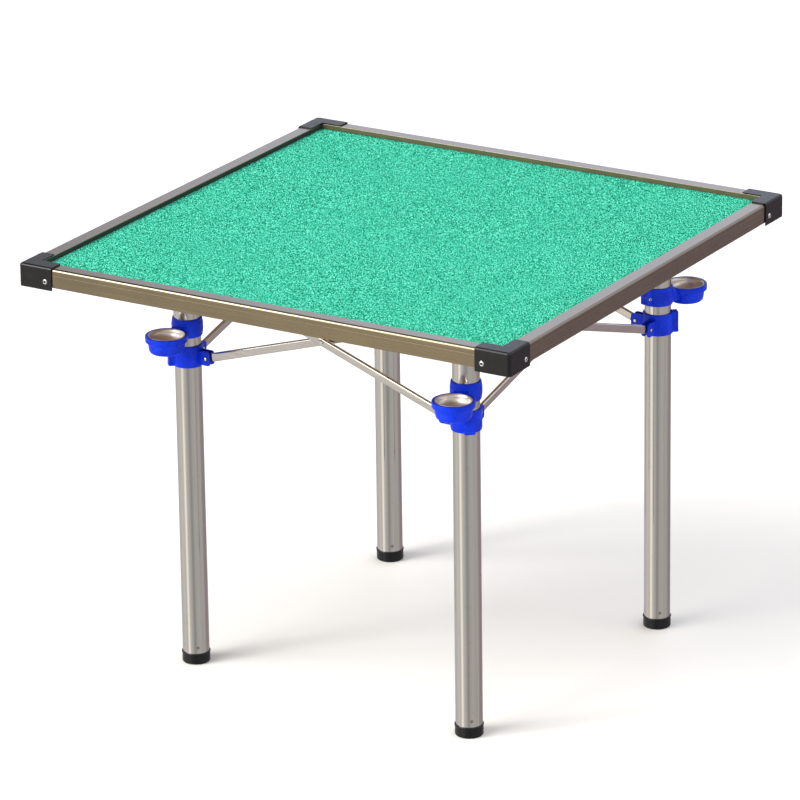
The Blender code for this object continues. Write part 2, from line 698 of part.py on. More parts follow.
def make_centre_pivot(side, axis, middle):
    """Headed pin through both braces where they cross."""
    face = BRACE_PLANE + BRACE_THICKNESS / 2 + GAP
    half = [
        (0.0, face + PIVOT_DOME),
        (PIN_RADIUS, face + PIVOT_DOME * 0.9),
        (PIVOT_HEAD, face + PIVOT_DOME / 3),
        (PIVOT_HEAD, face),
        (PIN_RADIUS, face),
    ]
    profile = half + [(radius, -height) for radius, height in reversed(half)]
    mesh = turned_mesh("centre_pivot", profile, RIVET_FACETS, "steel_satin")
    moved(mesh, Matrix.Rotation(QUARTER, 4, "X"))
    add_object(f"centre_pivot_{side}", mesh, TABLE, axis, (middle[0], 0, middle[1]))


def main():
    make_rails()
    make_board()
    make_corner_caps()
    make_cap_rivets()
    axes = make_leg_frame()
    make_legs(axes)
    make_top_joints(axes)
    make_slide_collars(axes)
    make_cup_holders(axes)
    make_clamp_screws(axes)
    make_cup_liners(axes)
    make_braces(axes)
    bpy.context.view_layer.update()


main()
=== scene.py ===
"""Looks of the folding card table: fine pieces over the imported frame, materials, light and camera."""
import json
import math
import random

import bmesh
import bpy
from mathutils import Matrix, Vector, noise


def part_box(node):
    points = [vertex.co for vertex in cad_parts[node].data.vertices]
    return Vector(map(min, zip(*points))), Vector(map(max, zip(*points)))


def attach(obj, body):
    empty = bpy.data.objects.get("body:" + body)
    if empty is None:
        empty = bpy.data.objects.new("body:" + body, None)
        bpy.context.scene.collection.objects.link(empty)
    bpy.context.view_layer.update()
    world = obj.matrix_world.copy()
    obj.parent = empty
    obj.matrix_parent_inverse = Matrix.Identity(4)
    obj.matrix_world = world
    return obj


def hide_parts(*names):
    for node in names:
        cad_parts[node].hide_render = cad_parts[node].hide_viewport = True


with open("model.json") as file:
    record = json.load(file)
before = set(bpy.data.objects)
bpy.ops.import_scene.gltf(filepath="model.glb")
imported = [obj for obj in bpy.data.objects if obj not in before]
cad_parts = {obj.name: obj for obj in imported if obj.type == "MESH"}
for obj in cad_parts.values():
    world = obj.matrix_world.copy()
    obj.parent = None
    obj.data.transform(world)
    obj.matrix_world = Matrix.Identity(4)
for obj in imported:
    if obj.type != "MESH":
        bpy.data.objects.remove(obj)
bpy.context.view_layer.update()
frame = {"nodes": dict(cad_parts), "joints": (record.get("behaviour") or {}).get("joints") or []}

CORNERS = ("front_left", "front_right", "back_right", "back_left")
SIDES = ("front", "right", "back", "left")
JOINTS = {joint["name"]: joint for joint in frame["joints"]}
SHARP_ANGLE = math.radians(38)


# ---------------------------------------------------------------- places read from the frame
def middle(node):
    low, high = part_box(node)
    return (low + high) / 2


def heights(node):
    return tuple(corner.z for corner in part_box(node))


LEG_AXIS = {corner: middle(f"leg_tube_{corner}") for corner in CORNERS}
TUBE_LOW, TUBE_HIGH = heights("leg_tube_front_left")
LEG_RADIUS = (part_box("leg_tube_front_left")[1].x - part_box("leg_tube_front_left")[0].x) / 2
_ALONG = LEG_AXIS["front_right"] - LEG_AXIS["front_left"]
FRAME_TURN = math.atan2(_ALONG.y, _ALONG.x)
LEG_PITCH = math.hypot(_ALONG.x, _ALONG.y)
PIVOT_HIGH = JOINTS["fold"]["pos_m"][2]
PIVOT_LOW = JOINTS["front_left_collar_pin"]["pos_m"][2]
COLLAR_LOW, COLLAR_HIGH = heights("slide_collar_front_left")
CUP_FLOOR, CLAMP_HIGH = heights("cup_clamp_front_left")
HEAD_TOP = heights("top_joint_front_left")[1]
LINER_LOW, LINER_TOP = heights("cup_liner_front_left")
CUP_RIM = LINER_TOP - 0.0001
CUP_REACH = math.hypot(*(middle("cup_liner_front_left") - LEG_AXIS["front_left"]).xy)
RAIL_LOW, RAIL_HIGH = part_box("rail_front")
RAIL_WIDTH = RAIL_HIGH.y - RAIL_LOW.y
MAT_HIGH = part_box("playing_mat")[1]
BOARD_BOTTOM = heights("board")[0]

FIT = 0.0003                                    # play between pieces that are pushed together
HEAD_RADIUS = COLLAR_RADIUS = 0.0252
CLAMP_RADIUS = 0.0255

# Brace ends, as the forks hold them
PIVOT_OFFSET = 0.0373
BRACE_PLANE = 0.0042
BRACE_THICKNESS = 0.0070
BRACE_HEIGHT = 0.0148
BRACE_END = 0.0085
FORK_WALL = 0.0032
FORK_GAP = 0.0004
PIN_RADIUS = 0.0024

# Lays a prism down: its length along X, its outline's x along Y and its outline's y upwards
LYING = Matrix(((0, 0, 1, 0), (1, 0, 0, 0), (0, 1, 0, 0), (0, 0, 0, 1)))


def quarter(index):
    """A number of quarter turns about Z."""
    return Matrix.Rotation(math.radians(90) * index, 4, "Z")


def leg_place(corner):
    """A leg's own frame: local +X points to the next leg anticlockwise, +Y to the one before."""
    axis = LEG_AXIS[corner]
    turn = FRAME_TURN + math.radians(90) * CORNERS.index(corner)
    return Matrix.Translation((axis.x, axis.y, 0)) @ Matrix.Rotation(turn, 4, "Z")


def cup_place(corner):
    """A frame on the leg's axis whose local +X points to the middle of the cup."""
    axis = LEG_AXIS[corner]
    cup = middle(f"cup_liner_{corner}")
    turn = math.atan2(cup.y - axis.y, cup.x - axis.x)
    return Matrix.Translation((axis.x, axis.y, 0)) @ Matrix.Rotation(turn, 4, "Z")


# ---------------------------------------------------------------- mesh code
def fillet(points, segments=4, closed=True):
    """Polyline whose corners given as (x, y, radius) are rounded by arcs."""
    result = []
    count = len(points)
    for index, point in enumerate(points):
        inner = closed or 0 < index < count - 1
        if len(point) == 2 or not inner:
            result.append((point[0], point[1]))
            continue
        corner = Vector(point[:2])
        before = Vector(points[index - 1][:2]) - corner
        after = Vector(points[(index + 1) % count][:2]) - corner
        half = before.angle(after) / 2
        radius = point[2]
        cut = min(radius / math.tan(half), before.length * 0.49, after.length * 0.49)
        radius = cut * math.tan(half)
        start = corner + before.normalized() * cut
        end = corner + after.normalized() * cut
        inward = (before.normalized() + after.normalized()).normalized()
        centre = corner + inward * (radius / math.sin(half))
        turn = (start - centre).angle_signed(end - centre)
        for step in range(segments + 1):
            angle = -turn * step / segments
            arm = Matrix.Rotation(angle, 2) @ (start - centre)
            result.append((centre.x + arm.x, centre.y + arm.y))
    return result


def arc(centre, radius, start, end, count):
    """Points on a circle, from one angle to another in degrees."""
    return [(centre[0] + radius * math.cos(math.radians(start + (end - start) * i / count)),
             centre[1] + radius * math.sin(math.radians(start + (end - start) * i / count)))
            for i in range(count + 1)]


def lathe(profile, steps, start=0.0, end=360.0):
    """Closed (radius, height) profile turned about Z, whole or between two angles."""
    bm = bmesh.new()
    whole = end - start >= 360.0
    count = steps if whole else steps + 1
    angles = [math.radians(start + (end - start) * i / steps) for i in range(count)]
    circle = [(math.cos(angle), math.sin(angle)) for angle in angles]
    rings = []
    for radius, height in profile:
        if radius < 1e-7:
            rings.append([bm.verts.new((0, 0, height))])
        else:
            rings.append([bm.verts.new((radius * x, radius * y, height)) for x, y in circle])
    pairs = list(zip(rings, rings[1:] + rings[:1]))
    for low, high in pairs:
        for i in range(steps):
            j = (i + 1) % count
            corners = [low[i % len(low)], low[j % len(low)], high[j % len(high)], high[i % len(high)]]
            unique = list(dict.fromkeys(corners))
            if len(unique) > 2:
                bm.faces.new(unique)
    if not whole:
        bm.faces.new([ring[0] for ring in rings])
        bm.faces.new([ring[-1] for ring in rings])
    bmesh.ops.recalc_face_normals(bm, faces=bm.faces)
    return bm


def prism(outline, low, high, edge=0.0, segments=3):
    """Outline in X and Y extruded along Z, its two end rims bevelled by edge."""
    bm = bmesh.new()
    bottom = [bm.verts.new((x, y, low)) for x, y in outline]
    top = [bm.verts.new((x, y, high)) for x, y in outline]
    caps = [bm.faces.new(bottom[::-1]), bm.faces.new(top)]
    count = len(outline)
    for i in range(count):
        j = (i + 1) % count
        bm.faces.new((bottom[i], bottom[j], top[j], top[i]))
    if edge > 0:
        rims = list({e for cap in caps for e in cap.edges})
        bmesh.ops.bevel(bm, geom=rims, offset=edge, segments=segments, profile=0.5, affect="EDGES",
                        clamp_overlap=True)
    bmesh.ops.recalc_face_normals(bm, faces=bm.faces)
    return bm


def loft(rings):
    """Solid through outlines of equal length, each given with its height."""
    bm = bmesh.new()
    rows = [[bm.verts.new((x, y, z)) for x, y in outline] for outline, z in rings]
    for lower, upper in zip(rows, rows[1:]):
        for i in range(len(lower)):
            j = (i + 1) % len(lower)
            bm.faces.new((lower[i], lower[j], upper[j], upper[i]))
    bm.faces.new(rows[0][::-1])
    bm.faces.new(rows[-1])
    bmesh.ops.recalc_face_normals(bm, faces=bm.faces)
    return bm


def block(low, high, edge, segments=3):
    """Box with all its edges rounded."""
    bm = bmesh.new()
    bmesh.ops.create_cube(bm, size=1.0)
    size = Vector(high) - Vector(low)
    centre = (Vector(high) + Vector(low)) / 2
    place = Matrix.Translation(centre) @ Matrix.Diagonal((*size, 1))
    bmesh.ops.transform(bm, matrix=place, verts=bm.verts)
    bmesh.ops.bevel(bm, geom=bm.edges[:], offset=edge, segments=segments, profile=0.5, affect="EDGES")
    return bm


def sink_face(bm, normal, margin, depth):
    """Recess the largest face that looks along normal by depth, leaving a rim of margin."""
    wanted = Vector(normal)
    faces = [f for f in bm.faces if f.normal.dot(wanted) > 0.98]
    face = max(faces, key=lambda f: f.calc_area())
    bmesh.ops.inset_individual(bm, faces=[face], thickness=margin, depth=0.0)
    bmesh.ops.inset_individual(bm, faces=[face], thickness=depth * 0.4, depth=-depth)


class Build:
    """Collects shapes into one mesh, each shape with its own material."""

    def __init__(self):
        self.bm = bmesh.new()
        self.materials = []

    def add(self, shape, material, place=None):
        if material not in self.materials:
            self.materials.append(material)
        index = self.materials.index(material)
        for face in shape.faces:
            face.material_index = index
            face.smooth = True
        if place is not None:
            shape.transform(place)
            if place.determinant() < 0:
                bmesh.ops.reverse_faces(shape, faces=shape.faces)
        mesh = bpy.data.meshes.new("shape")
        shape.to_mesh(mesh)
        shape.free()
        self.bm.from_mesh(mesh)
        bpy.data.meshes.remove(mesh)
        return self

    def finish(self, name, body, slot, *nodes):
        """The finished piece, which rides on its body and stands for its CAD nodes."""
        for edge in self.bm.edges:
            if len(edge.link_faces) == 2 and edge.calc_face_angle(0.0) > SHARP_ANGLE:
                edge.smooth = False
        mesh = bpy.data.meshes.new(name)
        self.bm.to_mesh(mesh)
        self.bm.free()
        for material in self.materials:
            mesh.materials.append(material)
        obj = bpy.data.objects.new(name, mesh)
        bpy.context.scene.collection.objects.link(obj)
        weighted = obj.modifiers.new("even_normals", "WEIGHTED_NORMAL")
        weighted.keep_sharp = True
        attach(obj, body)
        if nodes:
            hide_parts(*nodes)
        return obj


# ---------------------------------------------------------------- materials
class Tree:
    """Short way to wire a node tree."""

    def __init__(self, tree):
        self.tree = tree

    def feed(self, socket, value):
        """Link a socket to an output, or give it a fixed number or colour."""
        if isinstance(value, (int, float)):
            socket.default_value = value
        elif isinstance(value, tuple):
            socket.default_value = (*value, 1.0)
        else:
            self.tree.links.new(value, socket)

    def ramp(self, source, stops):
        """Colour ramp; a stop is (position, value) or (position, (r, g, b))."""
        node = self.tree.nodes.new("ShaderNodeValToRGB")
        while len(node.color_ramp.elements) < len(stops):
            node.color_ramp.elements.new(0.5)
        for element, (position, value) in zip(node.color_ramp.elements, stops):
            element.position = position
            rgb = value if isinstance(value, tuple) else (value, value, value)
            element.color = (*rgb, 1.0)
        self.tree.links.new(source, node.inputs["Fac"])
        return node.outputs["Color"]

    def mix(self, a, b, factor):
        node = self.tree.nodes.new("ShaderNodeMix")
        node.data_type = "RGBA"
        for socket, value in (("Factor", factor), ("A", a), ("B", b)):
            self.feed(node.inputs[socket], value)
        return node.outputs["Result"]

    def math(self, operation, *values):
        node = self.tree.nodes.new("ShaderNodeMath")
        node.operation = operation
        for socket, value in zip(node.inputs, values):
            self.feed(socket, value)
        return node.outputs["Value"]


class Nodes(Tree):
    """A procedural material on the object's own coordinates."""

    INPUTS = {"metallic": "Metallic", "roughness": "Roughness", "coat": "Coat Weight",
              "coat_roughness": "Coat Roughness", "specular": "Specular IOR Level"}

    def __init__(self, name):
        self.material = bpy.data.materials.new(name)
        self.material.use_nodes = True
        super().__init__(self.material.node_tree)
        self.shader = self.tree.nodes["Principled BSDF"]
        self.coordinates = self.tree.nodes.new("ShaderNodeTexCoord").outputs["Object"]

    def set(self, **values):
        for key, value in values.items():
            self.shader.inputs[self.INPUTS[key]].default_value = value

    def wire(self, source, socket):
        self.tree.links.new(source, self.shader.inputs[socket])

    def stretch(self, scale):
        """Coordinates scaled by a factor for each axis."""
        node = self.tree.nodes.new("ShaderNodeMapping")
        node.inputs["Scale"].default_value = scale
        self.tree.links.new(self.coordinates, node.inputs["Vector"])
        return node.outputs["Vector"]

    def turned(self, angle, scale):
        """Coordinates turned about Z first and scaled after."""
        node = self.tree.nodes.new("ShaderNodeMapping")
        node.vector_type = "TEXTURE"
        node.inputs["Rotation"].default_value = (0.0, 0.0, angle)
        node.inputs["Scale"].default_value = tuple(1 / s for s in scale)
        self.tree.links.new(self.coordinates, node.inputs["Vector"])
        return node.outputs["Vector"]

    def noise(self, scale, detail=3.0, rough=0.55, vector=None, distortion=0.0):
        node = self.tree.nodes.new("ShaderNodeTexNoise")
        node.inputs["Scale"].default_value = scale
        node.inputs["Detail"].default_value = detail
        node.inputs["Roughness"].default_value = rough
        node.inputs["Distortion"].default_value = distortion
        self.tree.links.new(vector or self.coordinates, node.inputs["Vector"])
        return node.outputs["Fac"]

    def grain(self, scale):
        """Soft rounded cells."""
        node = self.tree.nodes.new("ShaderNodeTexVoronoi")
        node.feature = "SMOOTH_F1"
        node.inputs["Scale"].default_value = scale
        node.inputs["Smoothness"].default_value = 0.5
        self.tree.links.new(self.coordinates, node.inputs["Vector"])
        return node.outputs["Distance"]

    def bump(self, height, distance, strength):
        node = self.tree.nodes.new("ShaderNodeBump")
        node.inputs["Strength"].default_value = strength
        node.inputs["Distance"].default_value = distance
        self.tree.links.new(height, node.inputs["Height"])
        return node.outputs["Normal"]

    def edge_wear(self, radius):
        """1 on convex edges and 0 elsewhere, from the bevelled normal."""
        bevel = self.tree.nodes.new("ShaderNodeBevel")
        bevel.samples = 4
        bevel.inputs["Radius"].default_value = radius
        geometry = self.tree.nodes.new("ShaderNodeNewGeometry")
        dot = self.tree.nodes.new("ShaderNodeVectorMath")
        dot.operation = "DOT_PRODUCT"
        self.tree.links.new(bevel.outputs["Normal"], dot.inputs[0])
        self.tree.links.new(geometry.outputs["Normal"], dot.inputs[1])
        return self.ramp(dot.outputs["Value"], ((0.90, 1.0), (0.995, 0.0)))

    def attribute(self, name):
        """A value stored on the mesh."""
        node = self.tree.nodes.new("ShaderNodeAttribute")
        node.attribute_name = name
        return node.outputs["Fac"]


def blue_plastic():
    """Glossy moulded plastic, a little paler on its worn edges."""
    m = Nodes("blue_plastic")
    tone = m.noise(38.0, 4.0)
    colour = m.mix((0.001, 0.020, 0.50), (0.002, 0.036, 0.70), m.ramp(tone, ((0.35, 0.0), (0.65, 1.0))))
    patches = m.ramp(m.noise(260.0, 4.0), ((0.40, 0.15), (0.62, 0.75)))
    worn = m.math("MULTIPLY", m.edge_wear(0.0009), patches)
    m.wire(m.mix(colour, (0.02, 0.10, 0.90), worn), "Base Color")
    m.wire(m.ramp(m.noise(90.0, 5.0), ((0.30, 0.24), (0.72, 0.36))), "Roughness")
    m.wire(m.bump(m.noise(1100.0, 3.0), 0.00004, 0.35), "Normal")
    m.set(specular=0.14)
    return m.material


def black_plastic():
    """Fine-grained black plastic with a few faint scuffs."""
    m = Nodes("black_plastic")
    tone = m.noise(55.0, 4.0)
    colour = m.mix((0.003, 0.003, 0.004), (0.007, 0.007, 0.009), tone)
    scuff = m.ramp(m.noise(24.0, 6.0, 0.7, m.stretch((1.0, 1.0, 3.0))), ((0.60, 0.0), (0.72, 0.35)))
    m.wire(m.mix(colour, (0.020, 0.020, 0.024), scuff), "Base Color")
    m.wire(m.ramp(m.noise(140.0, 4.0), ((0.30, 0.20), (0.70, 0.32))), "Roughness")
    m.wire(m.bump(m.grain(1500.0), 0.00004, 0.35), "Normal")
    m.set(specular=0.34)
    return m.material


def bronze_aluminium(name, direction):
    """Anodised aluminium drawn along one direction."""
    m = Nodes(name)
    along = tuple(6.0 if axis == direction else 900.0 for axis in "xyz")
    lines = m.noise(1.0, 4.0, 0.6, m.stretch(along))
    cloud = m.noise(7.0, 3.0)
    drawn = m.ramp(lines, ((0.32, 0.0), (0.68, 1.0)))
    colour = m.mix((0.175, 0.138, 0.082), (0.245, 0.196, 0.118), drawn)
    colour = m.mix(colour, (0.150, 0.118, 0.085), m.ramp(cloud, ((0.42, 0.0), (0.70, 0.45))))
    patches = m.ramp(m.noise(160.0, 5.0), ((0.35, 0.2), (0.65, 0.9)))
    bright = m.math("MULTIPLY", m.edge_wear(0.0006), patches)
    m.wire(m.mix(colour, (0.62, 0.57, 0.48), bright), "Base Color")
    fine_lines = m.noise(1.0, 5.0, 0.6, m.stretch(along))
    m.wire(m.ramp(fine_lines, ((0.30, 0.20), (0.70, 0.32))), "Roughness")
    m.wire(m.bump(lines, 0.00002, 0.4), "Normal")
    m.set(metallic=1.0, coat=1.0, coat_roughness=0.10)
    return m.material


def rail_lip(name, low, high):
    """Dull dark strip on the wall the mat is tucked under."""
    m = Nodes(name)
    cloud = m.noise(45.0, 4.0)
    m.wire(m.mix(low, high, cloud), "Base Color")
    m.wire(m.ramp(m.noise(300.0, 3.0), ((0.3, 0.50), (0.7, 0.68))), "Roughness")
    m.wire(m.bump(m.noise(700.0, 3.0), 0.00004, 0.4), "Normal")
    m.set(specular=0.4)
    return m.material


def steel(name, tone_low, tone_high, rough_low, rough_high, lines_scale):
    """Stainless steel with fine lines, a faint uneven polish and the brown crimp marks."""
    m = Nodes(name)
    lines = m.noise(1.0, 5.0, 0.6, m.stretch(lines_scale))
    cloud = m.noise(16.0, 4.0)
    colour = m.mix(tone_low, tone_high, m.ramp(lines, ((0.30, 0.0), (0.70, 1.0))))
    smear = m.ramp(m.noise(60.0, 6.0, 0.7), ((0.58, 0.0), (0.80, 0.5)))
    colour = m.mix(colour, tuple(0.8 * c for c in tone_low), smear)
    mark = m.attribute("mark")
    m.wire(m.mix(colour, (0.17, 0.095, 0.045), mark), "Base Color")
    base = m.ramp(cloud, ((0.35, rough_low), (0.70, rough_high)))
    m.wire(m.mix(base, (0.45, 0.45, 0.45), mark), "Roughness")
    m.wire(m.bump(lines, 0.00002, 0.4), "Normal")
    m.set(metallic=1.0)
    return m.material


def recess_dirt_and_shade():
    """Dirt and painted shade in sockets and under heads."""
    m = Nodes("recess_dirt_and_shade")
    colour = m.mix((0.006, 0.006, 0.006), (0.03, 0.028, 0.025), m.noise(700.0, 3.0))
    m.wire(colour, "Base Color")
    m.wire(m.ramp(m.noise(500.0), ((0.3, 0.6), (0.7, 0.85))), "Roughness")
    m.wire(m.bump(m.noise(1500.0), 0.00005, 0.5), "Normal")
    return m.material


def green_mat():
    """Short turf-like pile: fine dark and pale flecks lying along one slanting direction."""
    m = Nodes("green_mat")
    slant = m.turned(math.radians(15), (860.0, 210.0, 300.0))
    flecks = m.noise(1.0, 1.0, 0.5, slant, 0.20)
    nubs = m.noise(1300.0, 1.5, 0.6)
    fine = m.noise(1500.0, 3.0, 0.6)
    mottle = m.noise(30.0, 4.0, 0.6)
    broad = m.noise(3.2, 3.0, 0.5)
    height = m.mix(m.mix(flecks, nubs, 0.22), fine, 0.12)
    shade = m.ramp(height, ((0.41, (0.001, 0.080, 0.042)), (0.47, (0.008, 0.300, 0.178)),
                            (0.53, (0.038, 0.520, 0.330)), (0.60, (0.200, 0.860, 0.630))))
    shade = m.mix(shade, (0.009, 0.325, 0.190), m.ramp(mottle, ((0.48, 0.0), (0.74, 0.25))))
    shade = m.mix(shade, (0.042, 0.475, 0.306), m.ramp(broad, ((0.45, 0.0), (0.75, 0.25))))
    m.wire(shade, "Base Color")
    m.wire(m.ramp(fine, ((0.3, 0.82), (0.7, 0.98))), "Roughness")
    m.wire(m.bump(height, 0.0016, 1.0), "Normal")
    m.set(specular=0.05)
    return m.material


def fibreboard():
    """Sealed brown board, seen from below only."""
    m = Nodes("fibreboard")
    fibres = m.noise(1.0, 5.0, 0.65, m.stretch((120.0, 420.0, 420.0)))
    cloud = m.noise(9.0, 4.0)
    streaks = m.ramp(fibres, ((0.32, 0.0), (0.68, 1.0)))
    stains = m.ramp(cloud, ((0.45, 0.0), (0.72, 0.5)))
    colour = m.mix((0.20, 0.115, 0.055), (0.34, 0.215, 0.115), streaks)
    m.wire(m.mix(colour, (0.16, 0.09, 0.045), stains), "Base Color")
    m.wire(m.ramp(cloud, ((0.3, 0.48), (0.7, 0.66))), "Roughness")
    m.wire(m.bump(fibres, 0.00012, 0.6), "Normal")
    return m.material


BLUE = blue_plastic()
BLACK = black_plastic()
# The lip comes as a lit copy and as a copy with painted shade: the same strip, darkened where the left
# wall lies in shadow.
LIP_LIT_TONE = rail_lip("rail_lip", (0.060, 0.054, 0.024), (0.130, 0.115, 0.055))
LIP_PAINTED_SHADE = rail_lip("rail_lip_painted_shade", (0.010, 0.010, 0.007), (0.024, 0.022, 0.016))
BRONZE = {axis: bronze_aluminium(f"bronze_aluminium_{axis}", axis) for axis in "xy"}
TUBE_STEEL = steel("polished_steel", (0.61, 0.585, 0.555), (0.69, 0.665, 0.635),
                   0.10, 0.16, (900.0, 900.0, 5.0))
BRACE_STEEL = steel("brace_steel", (0.60, 0.57, 0.54), (0.74, 0.71, 0.68),
                    0.15, 0.24, (8.0, 8.0, 900.0))
LINER_STEEL = steel("liner_steel", (0.66, 0.61, 0.57), (0.78, 0.73, 0.69),
                    0.34, 0.44, (30.0, 30.0, 260.0))
FASTENER = steel("fastener_steel", (0.66, 0.65, 0.64), (0.85, 0.84, 0.83),
                 0.10, 0.20, (300.0, 300.0, 300.0))
RECESS_DIRT_AND_SHADE = recess_dirt_and_shade()
MAT = green_mat()
BOARD = fibreboard()


# ---------------------------------------------------------------- top
CAP_CORNER = 0.0050


def rail_outline():
    """Aluminium section in (distance in from the outer face, height)."""
    width = RAIL_WIDTH
    top, bottom = RAIL_HIGH.z, RAIL_LOW.z
    wall, flange = 0.0016, 0.002
    shoulder = 0.0058
    groove = top - 0.0104
    slot_top = MAT_HIGH.z + FIT
    slot_bottom = BOARD_BOTTOM - FIT
    slot_back = width - 0.012
    return fillet([
        (0.0, bottom, 0.0005),
        (0.0, groove - 0.0010, 0.0006),
        (0.00022, groove, 0.0006),
        (0.0, groove + 0.0010, 0.0006),
        (0.0, top, shoulder),
        (width, top, 0.0008),
        (width, slot_top, 0.0003),
        (slot_back, slot_top),
        (slot_back, slot_bottom),
        (width - flange, slot_bottom),
        (width - flange, slot_bottom - wall, 0.0004),
        (wall, slot_bottom - wall),
        (wall, bottom, 0.0003),
    ], segments=10)


def make_rails():
    """Rails, each with the dull strip on its inner wall above the mat; the left rail's strip carries
    painted shade.
    """
    outline = rail_outline()
    lip_low, lip_high = MAT_HIGH.z + FIT, RAIL_HIGH.z - 0.0012
    lip_back, lip_face = RAIL_WIDTH - 0.0010, RAIL_WIDTH + 0.0002
    lip = fillet([(lip_back, lip_low), (lip_face, lip_low), (lip_face, lip_high, 0.0002),
                  (lip_back, lip_high)], 3)
    for index, side in enumerate(SIDES):
        place = quarter(index) @ Matrix.Translation((0, RAIL_LOW.y, 0)) @ LYING
        material = BRONZE["x" if side in ("front", "back") else "y"]
        # The left rail's lip takes the copy with painted shade, the other rails take the lit copy.
        lip_painted_light = LIP_PAINTED_SHADE if side == "left" else LIP_LIT_TONE
        build = Build().add(prism(outline, RAIL_LOW.x, RAIL_HIGH.x), material, place)
        build.add(prism(lip, RAIL_LOW.x, RAIL_HIGH.x), lip_painted_light, place)
        build.finish(f"rail_{side}_fine", "tabletop", "bronze_aluminium", f"rail_{side}")


def cap_outline(reach, arm, width):
    """L-shaped top plate of a cap, its outer corner at (-reach, -reach)."""
    return fillet([
        (-reach, -reach, CAP_CORNER),
        (-reach + arm, -reach, 0.0008),
        (-reach + arm, -reach + width, 0.0008),
        (-reach + width, -reach + width, 0.0008),
        (-reach + width, -reach + arm, 0.0008),
        (-reach, -reach + arm, 0.0008),
    ], segments=5)


def skirt_outline(reach, arm, wall, inset):
    """L-shaped wall of a cap, its outer faces moved in by inset."""
    out = -reach + inset
    return fillet([(out, out, CAP_CORNER - 0.3 * inset), (-reach + arm, out, 0.0002),
                   (-reach + arm, -reach + wall, 0.0002), (-reach + wall, -reach + wall, 0.0032),
                   (-reach + wall, -reach + arm, 0.0002), (out, -reach + arm, 0.0002)], 5)


def make_corner_caps():
    """Caps whose outer top edge is rounded, as a plate and a skirt that share the same round."""
    low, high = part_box("corner_cap_front_left")
    reach = -low.x
    arm = high.x - low.x
    wall, plate, edge = 0.0016, 0.0018, 0.0042
    width = RAIL_WIDTH + wall + 0.0007
    seam = math.degrees(math.acos(1 - plate / edge))
    seam_gap = 0.00005

    def levels(start, end, count):
        """Inset and height along the round, from one angle to another."""
        for k in range(count + 1):
            angle = math.radians(start + (end - start) * k / count)
            yield edge * (1 - math.sin(angle)), high.z - edge * (1 - math.cos(angle))

    plate_rings = [(cap_outline(reach - inset, arm - inset, width - inset), z)
                   for inset, z in levels(seam, 0, 8)]
    skirt_rings = [(skirt_outline(reach, arm, wall, inset), z - seam_gap)
                   for inset, z in levels(90, seam, 6)]
    skirt_rings.insert(0, (skirt_outline(reach, arm, wall, 0.0), low.z))
    for index, corner in enumerate(CORNERS):
        build = Build().add(loft(plate_rings), BLACK, quarter(index))
        build.add(loft(skirt_rings), BLACK, quarter(index))
        build.finish(f"corner_cap_{corner}_fine", "tabletop", "black_plastic", f"corner_cap_{corner}")


def make_cap_rivets():
    """Pop rivets: domed flange, rolled rim and the hollow the mandrel left, darkened with dirt and
    painted shade.
    """
    flange = 0.0012
    for index, corner in enumerate(CORNERS):
        for arm_index, arm in enumerate(("a", "b")):
            node = f"cap_rivet_{corner}_{arm}"
            low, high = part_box(node)
            radius = (high.z - low.z) / 2
            centre = (low + high) / 2
            turn = math.radians(90 * (index - 1 - arm_index))
            out = Vector((math.cos(turn), math.sin(turn), 0))
            face = max(low.dot(out), high.dot(out))
            seat = centre + out * (face - flange - centre.dot(out))
            place = Matrix.Translation(seat) @ out.to_track_quat("Z", "Y").to_matrix().to_4x4()
            head = fillet([(0.0019, -0.0010), (radius, -0.0002), (radius, 0.0003, 0.0003),
                           (radius * 0.72, 0.0011, 0.0006), (0.0021, 0.0013, 0.0003),
                           (0.0018, 0.0004)], 4)
            core = fillet([(0.0, -0.0010), (0.0020, -0.0010), (0.0020, 0.0002), (0.0012, 0.0003, 0.0002),
                           (0.0009, 0.0007, 0.0002), (0.0, 0.0008)], 3, closed=False)
            build = Build().add(lathe(head, 40), FASTENER, place).add(lathe(core, 24), RECESS_DIRT_AND_SHADE, place)
            build.finish(f"{node}_fine", "tabletop", "polished_steel", node)


def make_mat():
    """Laid mat: a fine grid with an uneven, nubby surface and short tufts along its border."""
    random.seed(11)
    half = MAT_HIGH.x
    open_half = -RAIL_HIGH.y
    notch = open_half - 0.0006
    sunk, ease = 0.0006, 0.003
    cells = 320
    step = 2 * half / cells
    bm = bmesh.new()
    grid = {}

    def height(x, y):
        inside = min(1.0, max(0.0, (open_half - max(abs(x), abs(y))) / ease))
        nub = noise.noise(Vector((x * 150, y * 150, 0.3))) * 0.00012
        wave = noise.noise(Vector((x * 7, y * 7, 5.0))) * 0.0004
        return MAT_HIGH.z - sunk + inside * (nub + wave)

    for i in range(cells + 1):
        for j in range(cells + 1):
            x, y = -half + i * step, -half + j * step
            if abs(x) > notch and abs(y) > notch:
                continue
            grid[i, j] = bm.verts.new((x, y, height(x, y)))
    for i in range(cells):
        for j in range(cells):
            corners = [grid.get(key) for key in ((i, j), (i + 1, j), (i + 1, j + 1), (i, j + 1))]
            if None not in corners:
                bm.faces.new(corners)
    reach = open_half - 0.0012
    tufts = 420
    for side in range(4):
        spin = quarter(side).to_3x3()
        for _ in range(tufts):
            along = random.uniform(-reach, reach)
            root = spin @ Vector((along, reach - random.uniform(0.0, 0.0035), 0))
            base = height(root.x, root.y) - 0.0003
            tall = random.uniform(0.0008, 0.0021)
            wide = random.uniform(0.0005, 0.0010)
            lean = Vector((random.uniform(-1, 1), random.uniform(-1, 1), 0)) * 0.0006
            angle = random.uniform(0, math.pi)
            turns = [angle + k * math.tau / 4 for k in range(4)]
            ring = [bm.verts.new((root.x + wide * math.cos(turn), root.y + wide * math.sin(turn), base))
                    for turn in turns]
            tip = bm.verts.new((root.x + lean.x, root.y + lean.y, base + tall))
            for k in range(4):
                bm.faces.new((ring[k], ring[(k + 1) % 4], tip))
    mat = Build().add(bm, MAT).finish("playing_mat_fine", "tabletop", "green_mat", "playing_mat")


